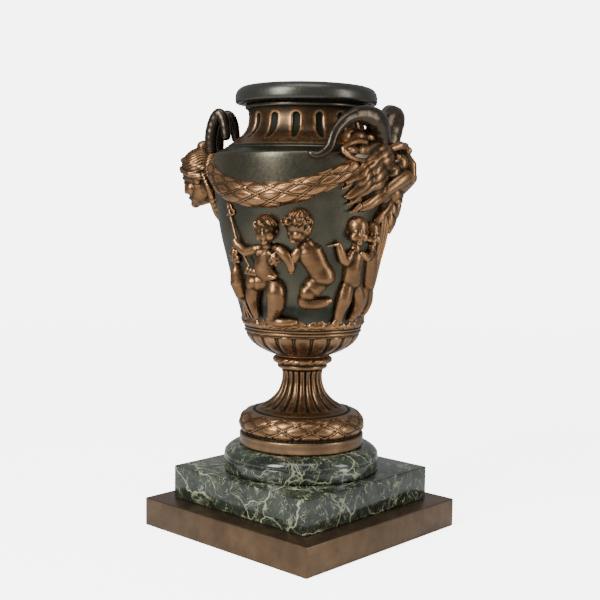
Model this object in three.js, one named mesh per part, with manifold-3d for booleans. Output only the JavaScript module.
// Mantel urn of patinated bronze on its plinth, in millimetres, +Z up.
// The origin is the centre of the base plate's underside, and the plate's sides lie along X and Y.
// The urn is turned on its plinth: its own front, between the two masks, is -Y inside the turned group.
import * as THREE from "three";
import { mergeVertices } from "three/addons/utils/BufferGeometryUtils.js";
import Module from "manifold-3d";

const wasm = await Module();
wasm.setup();

// Plinth
const plate = { side: 200, height: 25.6, edge: 1.5 };
const block = { side: 163, height: 30.3, edge: 1 };
const blockTop = plate.height + block.height;
const stepTop = 77.7;

// Urn
const urnTurn = 25.7; // degrees from the plate's front to the urn's front
const footTop = 160;
const bowl = { lobes: 20, phase: 17, depth: 1.5, top: 180 };
const neck = { bottom: 345, top: 381, slots: 16, phase: 7.5 };
const slot = { width: 7.6, depth: 1.8, foot: 349.7, head: 371.7 }; // its width is in degrees round the neck
const stem = { flutes: 20, phase: 8.3, depth: 1.5, bottom: 112, top: 146 };
const rope = { radius: 27, bottom: 151.4, top: 158, strands: 20, groove: 0.8, lean: 270 };
const laurel = { lozenges: 14, relief: 1.3, bottom: 90.5, top: 107.5 };
const shoulder = { radius: 82, height: 335.2 };
const headBow = 24; // degrees that the female mask's head is bowed
const wallThickness = 4;
const seam = 0.3; // gap between a mask and the body that it is fixed to
const fineness = 0.1; // facets of a joined solid that differ by less than this are merged

// Ground of the relief, from the band over the gadroons up to the shoulder: [radius, height]
const wallOutline = [
  [53.9, 188],
  [58.8, 206],
  [69.8, 247],
  [76.2, 275],
  [80.2, 302],
  [shoulder.radius, 326],
  [shoulder.radius, shoulder.height],
];

// Slope of the shoulder, up to the foot of the neck: [radius, height]
const shoulderOutline = [
  [80.6, 337.8],
  [71.4, 342.6],
];

// Cove of the neck, up to the fillet under the rim: [radius, height]
const coveOutline = [
  [68.5, neck.bottom],
  [62.2, slot.foot],
  [55.4, 355.4],
  [51.4, 363],
  [51, slot.head],
  [52.4, 376.6],
];
const fillet = { radius: 54.3, height: 377.4 };

// The height at which a garland hangs, and how it swells, along its length
const garland = {
  low: 301.5,
  rise: 27,
  radius: 10,
  endRadius: 6.2,
  ribbons: 8,
  steps: 14,
  sides: 6,
};

// Where the garlands end beside the two masks, in degrees from the front
const festoonEnds = { female: -66, satyr: 49 };

const puttoSize = {
  head: 9.2,
  headHeight: 10.6,
  neck: 6.5,
  chest: 11,
  belly: 11.5,
  hips: 9.5,
  shoulder: 5.6,
  elbow: 5,
  hand: 3.6,
  hip: 8.5,
  knee: 7,
  ankle: 4.6,
  toe: 3.2,
};

const bronze = new THREE.MeshStandardMaterial({ color: 0x8a6240, roughness: 0.45, metalness: 0.85 });
const darkBronze = new THREE.MeshStandardMaterial({ color: 0x4b4e45, roughness: 0.5, metalness: 0.7 });
const brownBronze = new THREE.MeshStandardMaterial({ color: 0x5f4c38, roughness: 0.5, metalness: 0.8 });
const greenMarble = new THREE.MeshStandardMaterial({ color: 0x3c463c, roughness: 0.25, metalness: 0 });

// A closed geometry as a solid that can be joined and cut.
function solid(geometry) {
  const bare = geometry.clone();
  bare.deleteAttribute("normal");
  bare.deleteAttribute("uv");
  const merged = mergeVertices(bare, 1e-4);
  return new wasm.Manifold(
    new wasm.Mesh({
      numProp: 3,
      vertProperties: merged.attributes.position.array,
      triVerts: new Uint32Array(merged.index.array),
    }),
  );
}

function geometryOf(shape) {
  const mesh = shape.asOriginal().simplify(fineness).getMesh();
  const geometry = new THREE.BufferGeometry();
  geometry.setAttribute("position", new THREE.BufferAttribute(mesh.vertProperties, 3));
  geometry.setIndex(new THREE.BufferAttribute(mesh.triVerts, 1));
  geometry.computeVertexNormals();
  return geometry;
}

function join(shapes) {
  return shapes.reduce((whole, shape) => whole.add(shape));
}

function piece(name, geometry, material) {
  const mesh = new THREE.Mesh(geometry, material);
  mesh.name = name;
  return mesh;
}

const radians = THREE.MathUtils.degToRad;

// A place on the urn: azimuth in degrees from its front towards +X, distance from the axis, height.
function around(azimuth, radius, height) {
  const angle = radians(azimuth);
  return new THREE.Vector3(radius * Math.sin(angle), -radius * Math.cos(angle), height);
}

// A turned solid about Z. Its outline runs from the foot of the axis, outwards and up, to the axis again.
// change(radius, azimuth, height) may give each of its points another radius.
function turned(outline, segments, change = (radius) => radius) {
  const points = outline.map(([radius, height]) => new THREE.Vector2(radius, height));
  const geometry = new THREE.LatheGeometry(points, segments).rotateX(Math.PI / 2);
  const place = geometry.attributes.position;
  for (let i = 0; i < place.count; i++) {
    const [x, y, z] = [place.getX(i), place.getY(i), place.getZ(i)];
    const radius = Math.hypot(x, y);
    if (radius < 1e-6) continue;
    const scale = change(radius, THREE.MathUtils.radToDeg(Math.atan2(x, -y)), z) / radius;
    place.setXYZ(i, x * scale, y * scale, z);
  }
  return geometry;
}

// The radius of an outline at a height.
function radiusAt(outline, height) {
  const upper = outline.findIndex(([, z]) => z >= height);
  if (upper === 0) return outline[0][0];
  if (upper < 0) return outline[outline.length - 1][0];
  const [[r0, z0], [r1, z1]] = [outline[upper - 1], outline[upper]];
  return r0 + ((r1 - r0) * (height - z0)) / (z1 - z0);
}

// The value at a share of the way along a list of values.
function between(values, along) {
  const place = along * (values.length - 1);
  const index = Math.min(Math.floor(place), values.length - 2);
  return THREE.MathUtils.lerp(values[index], values[index + 1], place - index);
}

// A place on the relief wall, lifted off its ground.
function onWall([azimuth, height, lift]) {
  return around(azimuth, radiusAt(wallOutline, height) + lift, height);
}

function ball(centre, [x, y, z], sides = 7) {
  const geometry = new THREE.SphereGeometry(1, sides, sides - 2).rotateX(Math.PI / 2).scale(x, y, z);
  return solid(geometry.translate(centre.x, centre.y, centre.z));
}

// A limb that tapers from one place to another, with blunt rounded ends.
function limb(from, to, fromRadius, toRadius, sides = 5) {
  const length = from.distanceTo(to);
  const outline = [
    [0, -0.8 * fromRadius],
    [fromRadius, 0],
    [toRadius, length],
    [0, length + 0.8 * toRadius],
  ];
  const geometry = turned(outline, sides);
  const direction = to.clone().sub(from).normalize();
  geometry.applyQuaternion(new THREE.Quaternion().setFromUnitVectors(new THREE.Vector3(0, 0, 1), direction));
  return solid(geometry.translate(from.x, from.y, from.z));
}

// A tube along a smooth curve. radiusOf(share, angle) gives its radius along and around it.
function curvedTube(places, steps, sides, radiusOf) {
  const curve = new THREE.CatmullRomCurve3(places, false, "centripetal");
  const frames = curve.computeFrenetFrames(steps);
  const geometry = new THREE.CylinderGeometry(1, 1, 1, sides, steps);
  const place = geometry.attributes.position;
  for (let i = 0; i < place.count; i++) {
    const [across, along, beside] = [place.getX(i), place.getY(i) + 0.5, place.getZ(i)];
    const step = Math.round(along * steps);
    const size = radiusOf(along, Math.atan2(beside, across));
    const point = curve.getPointAt(step / steps);
    point.addScaledVector(frames.binormals[step], across * size);
    point.addScaledVector(frames.normals[step], beside * size);
    place.setXYZ(i, point.x, point.y, point.z);
  }
  return solid(geometry);
}

// A square slab with rounded edges, standing on the height given.
function slab({ side, height, edge }, bottom) {
  const half = side / 2 - edge;
  const square = new THREE.Shape();
  square.moveTo(-half, -half);
  square.lineTo(half, -half);
  square.lineTo(half, half);
  square.lineTo(-half, half);
  square.closePath();
  const geometry = new THREE.ExtrudeGeometry(square, {
    depth: height - 2 * edge,
    bevelThickness: edge,
    bevelSize: edge,
    bevelSegments: 2,
  });
  return geometry.translate(0, 0, bottom + edge);
}

function marbleStep() {
  const outline = [
    [0, blockTop],
    [70.3, blockTop],
    [70.3, 67.4],
    [69.4, 68.3],
    [69.9, 70.2],
    [67.6, 73.4],
    [64, 76.2],
    [61, stepTop],
    [0, stepTop],
  ];
  return turned(outline, 32);
}

// The foot in one casting: plain ring, laurel torus with crossed ribbons, fluted stem, collar and rope.
function foot() {
  const ring = [
    [0, stepTop],
    [56.3, stepTop],
    [56.3, 88.7],
    [54, laurel.bottom],
    [0, laurel.bottom],
  ];
  const torus = [
    [0, laurel.bottom - 1],
    [54.6, laurel.bottom],
    [56.6, 96],
    [55.6, 101.2],
    [52.2, 106],
    [47.3, 108.6],
    [0, laurel.top],
  ];
  const lozenge = (radius, azimuth, height) => {
    const turn = (azimuth * laurel.lozenges) / 360;
    const climb = (height - laurel.bottom) / (laurel.top - laurel.bottom);
    const ribbon = Math.abs(Math.sin(Math.PI * (turn + climb)) * Math.sin(Math.PI * (turn - climb)));
    return radius - laurel.relief * (1 - ribbon);
  };
  const trumpet = [
    [0, 104],
    [41.5, 107],
    [41.5, 109],
    [36, stem.bottom],
    [25, 120],
    [18.6, 131],
    [17.4, 139],
    [18.2, stem.top],
    [0, stem.top],
  ];
  const flute = (radius, azimuth, height) => {
    const groove = Math.abs(Math.round((azimuth * 2 * stem.flutes) / 360)) % 2 === 0;
    return groove && height >= stem.bottom ? radius - Math.min(stem.depth, 0.08 * radius) : radius;
  };
  const collar = [
    [0, stem.top - 1],
    [22.3, 148],
    [22.3, rope.bottom],
    [rope.radius, (2 * rope.bottom + rope.top) / 3],
    [rope.radius, (rope.bottom + 2 * rope.top) / 3],
    [23.6, rope.top],
    [25.2, footTop],
    [0, footTop],
  ];
  const strand = (radius, azimuth, height) => {
    if (radius < rope.radius) return radius;
    const climb = (height - rope.bottom) / (rope.top - rope.bottom);
    return radius - rope.groove * (1 + Math.cos(radians(rope.strands * azimuth - rope.lean * climb)));
  };
  return geometryOf(
    join([
      solid(turned(ring, 32)),
      solid(turned(torus, 3 * laurel.lozenges, lozenge)),
      solid(turned(trumpet, 2 * stem.flutes, flute).rotateZ(radians(stem.phase))),
      solid(turned(collar, 2 * rope.strands, strand)),
    ]),
  );
}

// The turned form from the gadroons up to the shoulder. Each second point of a turn is a valley.
function wallForm() {
  const outline = [
    [0, footTop],
    [28, footTop],
    [35.6, 164],
    [43.2, 168.6],
    [49, 174.4],
    [51, bowl.top],
    [52.6, 181.8],
    [52, 183.6],
    [53.8, 185.4],
    ...wallOutline,
    ...shoulderOutline,
    [0, 342.6],
  ];
  const lobe = (radius, azimuth, height) => {
    const valley = Math.abs(Math.round((azimuth * 2 * bowl.lobes) / 360)) % 2 === 0;
    return valley && height > footTop && height < bowl.top ? radius - bowl.depth : radius;
  };
  return solid(turned(outline, 2 * bowl.lobes, lobe).rotateZ(radians(bowl.phase + 180 / bowl.lobes)));
}

// The fluted neck with the fillet under the rim. Three points of each turn of the outline make one slot.
function neckForm() {
  const outline = [
    [0, 341],
    [68.9, 341],
    ...coveOutline,
    [fillet.radius, fillet.height],
    [fillet.radius, neck.top],
    [0, neck.top],
  ];
  const pitch = 360 / neck.slots;
  const isSlot = (height) => height >= slot.foot && height <= slot.head;
  const groove = (radius, azimuth, height) => {
    const middle = Math.round((3 * azimuth) / pitch) % 3 === 0;
    return middle && isSlot(height) ? radius - slot.depth : radius;
  };
  const geometry = turned(outline, 3 * neck.slots, groove);
  const place = geometry.attributes.position;
  for (let i = 0; i < place.count; i++) {
    const [x, y] = [place.getX(i), place.getY(i)];
    const azimuth = THREE.MathUtils.radToDeg(Math.atan2(x, -y));
    const centre = pitch * Math.round(azimuth / pitch);
    const offset = (azimuth - centre) * ((1.5 * slot.width) / pitch);
    const point = around(centre + offset + neck.phase, Math.hypot(x, y), place.getZ(i));
    place.setXYZ(i, point.x, point.y, point.z);
  }
  return solid(geometry);
}

// A plain form that holds the wall, shoulder and neck, with the seam that a mask keeps to them.
function seat() {
  const segments = 24;
  const grow = (radius) => (radius + seam) / Math.cos(Math.PI / segments);
  const outline = [...wallOutline.slice(2), ...shoulderOutline, ...coveOutline].map(
    ([radius, height]) => [grow(radius), height + (height >= shoulder.height ? seam : 0)],
  );
  const side = grow(fillet.radius);
  const top = [[side, fillet.height], [side, 400], [0, 400]];
  return solid(turned([[0, outline[0][1]], ...outline, ...top], segments));
}

function cavity() {
  const inner = wallOutline.slice(1, -2).map(([radius, height]) => [radius - wallThickness, height]);
  const outline = [
    [0, 166.5],
    [25, 168],
    [48, 188],
    ...inner,
    [77.4, 331],
    [66, 338.4],
    [51.6, 353],
    [46.6, 363],
    [46.6, neck.top + 5],
    [0, neck.top + 5],
  ];
  return solid(turned(outline, 20));
}

// A garland of laurel bound with crossed ribbons, hanging on the wall between two azimuths.
function festoon(from, to, allowance) {
  const stations = 9;
  const places = [...Array(stations).keys()].map((index) => {
    const share = (2 * index) / (stations - 1) - 1;
    const azimuth = (from + to) / 2 + (share * (to - from)) / 2;
    return onWall([azimuth, garland.low + garland.rise * share * share, 0]);
  });
  const radiusOf = (along, angle) => {
    const share = Math.abs(2 * along - 1);
    const size = garland.radius + (garland.endRadius - garland.radius) * share * share;
    const turn = garland.ribbons * along;
    const ribbon = Math.abs(Math.sin(Math.PI * turn + 2 * angle) * Math.sin(Math.PI * turn - 2 * angle));
    return size * (0.93 + 0.09 * ribbon) + allowance;
  };
  return curvedTube(places, garland.steps, garland.sides, radiusOf);
}

// A child in high relief, grown by an allowance. Each joint is [azimuth, height, distance from the ground].
function putto(joint, allowance) {
  const size = puttoSize;
  const chain = (names, sides = 5) => {
    const places = names.map((name) => onWall(joint[name]));
    const radii = names.map((name) => size[name.replace(/^(left|right)/, "").toLowerCase()] + allowance);
    return curvedTube(places, names.length, sides, (along) => between(radii, along));
  };
  const head = [size.head, size.head, size.headHeight].map((radius) => radius + allowance);
  const shapes = [ball(onWall(joint.head), head, 6), chain(["neck", "chest", "belly", "hips"], 6)];
  for (const side of ["left", "right"]) {
    const named = (names) => names.map((name) => side + name).filter((name) => joint[name]);
    const arm = named(["Shoulder", "Elbow", "Hand"]);
    const leg = named(["Hip", "Knee", "Ankle"]);
    const foot = named(["Ankle", "Toe"]);
    [arm, leg, foot].filter((names) => names.length > 1).forEach((names) => shapes.push(chain(names)));
  }
  return join(shapes);
}

const torchBearer = {
  head: [-7, 274.5, 4],
  neck: [-7, 260, 1],
  chest: [-8, 251, -2],
  belly: [-12, 236, -2.5],
  hips: [-9, 227, -2],
  leftShoulder: [-14, 256, 3],
  leftElbow: [-24, 252, 3],
  leftHand: [-33, 261, 3],
  rightShoulder: [-1, 257, 4],
  rightElbow: [7.5, 248, 4],
  rightHand: [8.7, 236, 4],
  leftHip: [-11, 230, 3],
  leftKnee: [-26, 224, 6],
  leftAnkle: [-29, 202, 3],
  rightHip: [-6, 229, 1],
  rightKnee: [-3.5, 216, 5],
  rightAnkle: [-11, 194, 3],
  rightToe: [9, 192, 3],
};

const backTurned = {
  head: [14.3, 276, 5],
  neck: [18, 262, 2],
  chest: [20, 252, -1],
  belly: [27.5, 235, -1.5],
  hips: [31, 226, -1],
  leftShoulder: [15.5, 256, 3],
  leftElbow: [11.5, 248, 3],
  leftHand: [9, 243, 2],
  rightHip: [29, 231, 3],
  rightKnee: [19, 216, 6],
  rightAnkle: [20, 209, 3],
  rightToe: [37, 212, 2],
};

const piper = {
  head: [51, 270, 3],
  neck: [52, 257, 1],
  chest: [54.5, 249, -2],
  belly: [57, 236, -2.5],
  hips: [58, 224, -2],
  leftShoulder: [50.5, 253, 3],
  leftElbow: [45.5, 246, 4],
  leftHand: [39.5, 262, 4],
  leftHip: [54.5, 228, 1],
  leftKnee: [52, 212, 2],
  leftAnkle: [48.5, 195, 1],
  rightHip: [62, 228, 1],
  rightKnee: [66, 211, 2],
  rightAnkle: [65, 195, 1],
};

const companion = {
  head: [66, 271, 1],
  neck: [70, 257, -1],
  chest: [74, 249, -3],
  belly: [76, 235, -3.5],
  hips: [77, 224, -3],
  leftShoulder: [70, 253, 1],
  leftElbow: [65, 246, 2],
  leftHand: [60, 249, 4],
  rightHip: [78, 228, 0],
  rightKnee: [79, 211, 1],
  rightAnkle: [80, 195, 0],
};

// Two plainer children face each other on the back.
const seatedBack = {
  head: [168, 272, 3],
  neck: [166, 258, 1],
  chest: [165, 249, -2],
  belly: [163, 234, -2.5],
  hips: [162, 224, -2],
  leftShoulder: [170, 254, 3],
  leftElbow: [178, 246, 3],
  leftHand: [187, 254, 3],
  rightHip: [164, 228, 2],
  rightKnee: [177, 220, 5],
  rightAnkle: [174, 196, 3],
};

const standingBack = {
  head: [208, 271, 3],
  neck: [209, 257, 1],
  chest: [210, 248, -2],
  belly: [211, 234, -2.5],
  hips: [211, 222, -2],
  leftShoulder: [205, 253, 3],
  leftElbow: [199, 245, 3],
  leftHand: [193, 255, 3],
  leftHip: [208, 227, 1],
  leftKnee: [205, 211, 2],
  leftAnkle: [204, 194, 1],
};

// The staff, the grapes, the wine skin and the hanging cloth beside the children, grown by an allowance.
function attributes(allowance) {
  const bar = (from, to, radius) => {
    const grown = radius + allowance;
    return limb(onWall(from), onWall(to), grown, grown, 4);
  };
  const lump = (place, sizes) => ball(onWall(place), sizes.map((size) => size + allowance), 5);
  return join([
    bar([-36.5, 281, 1], [-22, 240, 1], 1.6),
    lump([-35, 285, 0], [5, 5, 5]),
    bar([33, 259.5, 3], [41, 259.5, 4], 1.4),
    lump([-3.5, 247, 2], [4.6, 4.6, 6]),
    lump([-43.5, 221, 0], [7, 7, 19]),
    lump([-41, 247, 0], [6, 6, 9]),
    lump([-62, 233, -2], [6, 6, 9]),
    bar([86, 285, 1], [87, 200, 0], 4),
  ]);
}

// Everything that stands proud of the wall, grown by an allowance.
function relief(allowance) {
  const children = [torchBearer, backTurned, piper, companion, seatedBack, standingBack];
  const { female, satyr } = festoonEnds;
  return join([
    ...children.map((joints) => putto(joints, allowance)),
    attributes(allowance),
    festoon(female, satyr, allowance),
    festoon(180 - satyr, 180 - female, allowance),
  ]);
}

function body() {
  return geometryOf(join([wallForm(), neckForm(), relief(0)]).subtract(cavity()));
}

function rim() {
  const outline = [
    [42.5, neck.top],
    [55, neck.top],
    [56.2, 382.4],
    [61.8, 381.4],
    [63, 384],
    [62.8, 389.8],
    [59.2, 395.2],
    [50, 397.4],
    [42.5, 396],
    [42.5, neck.top],
  ];
  return turned(outline, 28);
}

// A mask cut to lie against the body and its relief.
function fitted(shape) {
  return shape.subtract(seat()).subtract(relief(seam));
}

// A place on a mask: distance out along its axis, distance towards the urn's front, height.
function onMask(side) {
  return (out, front, height) => new THREE.Vector3(side * out, -front, height);
}

// The radii of a horn along it. The one on the back stands higher by its rise.
const satyrHorn = { radii: [10, 10.4, 9, 5.6, 4.4, 4, 2.2], rise: 7, sides: 6, steps: 11 };
const femaleHorn = { radii: [4.8, 5, 4, 2.8], rise: 0, sides: 5, steps: 8 };

function horn(side, way, path, { radii, rise, sides, steps }) {
  const at = onMask(side);
  const places = path.map(([out, front, height], index) => {
    const lift = way < 0 ? rise * Math.sin((Math.PI * index) / (path.length - 1)) : 0;
    return at(out, way * front, height + lift);
  });
  return curvedTube(places, steps, sides, (along) => between(radii, along));
}

// The goat-like mask with horns that arch over the shoulder, ears, whiskers and beard.
function satyrMask() {
  const at = onMask(1);
  const shapes = [
    ball(at(72, 0, 320), [21, 32, 27], 9),
    ball(at(80, 0, 341), [11, 24, 6.5], 6),
    ball(at(92.5, 0, 342), [4.6, 4.6, 4.6], 5),
    limb(at(87, 0, 337), at(95, 0, 320), 5.5, 6.5, 6),
    ball(at(81, 0, 297), [6, 11, 5], 6),
  ];
  for (const way of [-1, 1]) {
    const path = [
      [71, 13, 343],
      [71, 21, 356],
      [70.5, 32, 365.5],
      [61, 48, 369],
      [51.5, 61, 363],
      [45.5, 69.5, 352],
      [42.5, 73.5, 341],
      [35, 77.5, 334.5],
      [25.5, 79, 336.5],
    ];
    shapes.push(horn(1, way, path, satyrHorn));
    shapes.push(limb(at(93, way * 3, 321), at(77, way * 27, 303), 7.5, 5.5, 6));
    shapes.push(limb(at(72, way * 14, 341), at(59, way * 52, 341), 10, 7.5));
    shapes.push(ball(at(59, way * 60, 338.5), [8, 13, 7], 6));
    for (const lock of [0, 1, 2]) {
      const start = at(75 - lock, way * (24 - lock), 325 - 9 * lock);
      const end = at(58 + 1.5 * lock, way * (60 - 2 * lock), 315 - 10.5 * lock);
      shapes.push(limb(start, end, 10, 8));
    }
    shapes.push(limb(at(78, way * 5, 295), at(77, way * 7, 272), 7, 2.5));
  }
  return geometryOf(fitted(join(shapes)));
}

// The female mask, bowed forwards, with rolled hair, a hanging tail of hair and a pair of arched horns.
function femaleMask() {
  const at = onMask(-1);
  const centre = at(99, 0, 317);
  const face = new THREE.SphereGeometry(1, 10, 7).rotateX(Math.PI / 2).scale(20, 18.5, 28);
  face.rotateY(-radians(headBow)).translate(centre.x, centre.y, centre.z);
  const shapes = [
    solid(face),
    limb(at(114, 0, 318), at(113.5, 0, 304), 2.5, 3.6, 5),
    ball(at(103, 0, 338), [20, 22, 14], 7),
    ball(at(97, 0, 351), [6, 7, 5.5], 5),
    limb(at(90, 0, 294), at(79, 0, 272), 8, 2.5),
  ];
  for (const way of [-1, 1]) {
    const path = [
      [88, 8, 338],
      [88, 10, 352],
      [84, 11, 370],
      [78, 13, 377.5],
      [73, 15, 368],
      [71, 17, 346],
    ];
    shapes.push(horn(-1, way, path, femaleHorn));
    shapes.push(limb(at(119, way * 2, 331), at(98, way * 21, 324), 6, 6.5));
    shapes.push(limb(at(98, way * 20, 330), at(84, way * 24, 298), 8, 5));
    shapes.push(limb(at(84, way * 22, 298), at(80, way * 3, 272), 6, 2.5));
  }
  return geometryOf(fitted(join(shapes)));
}

const urn = new THREE.Group();
urn.rotation.z = radians(urnTurn);
urn.add(piece("foot", foot(), bronze));
urn.add(piece("body", body(), bronze));
urn.add(piece("rim", rim(), darkBronze));
urn.add(piece("satyr_mask", satyrMask(), bronze));
urn.add(piece("female_mask", femaleMask(), bronze));

const whole = new THREE.Group();
whole.add(piece("base_plate", slab(plate, 0), brownBronze));
whole.add(piece("marble_plinth", slab(block, plate.height), greenMarble));
whole.add(piece("marble_step", marbleStep(), greenMarble));
whole.add(urn);

export default whole;
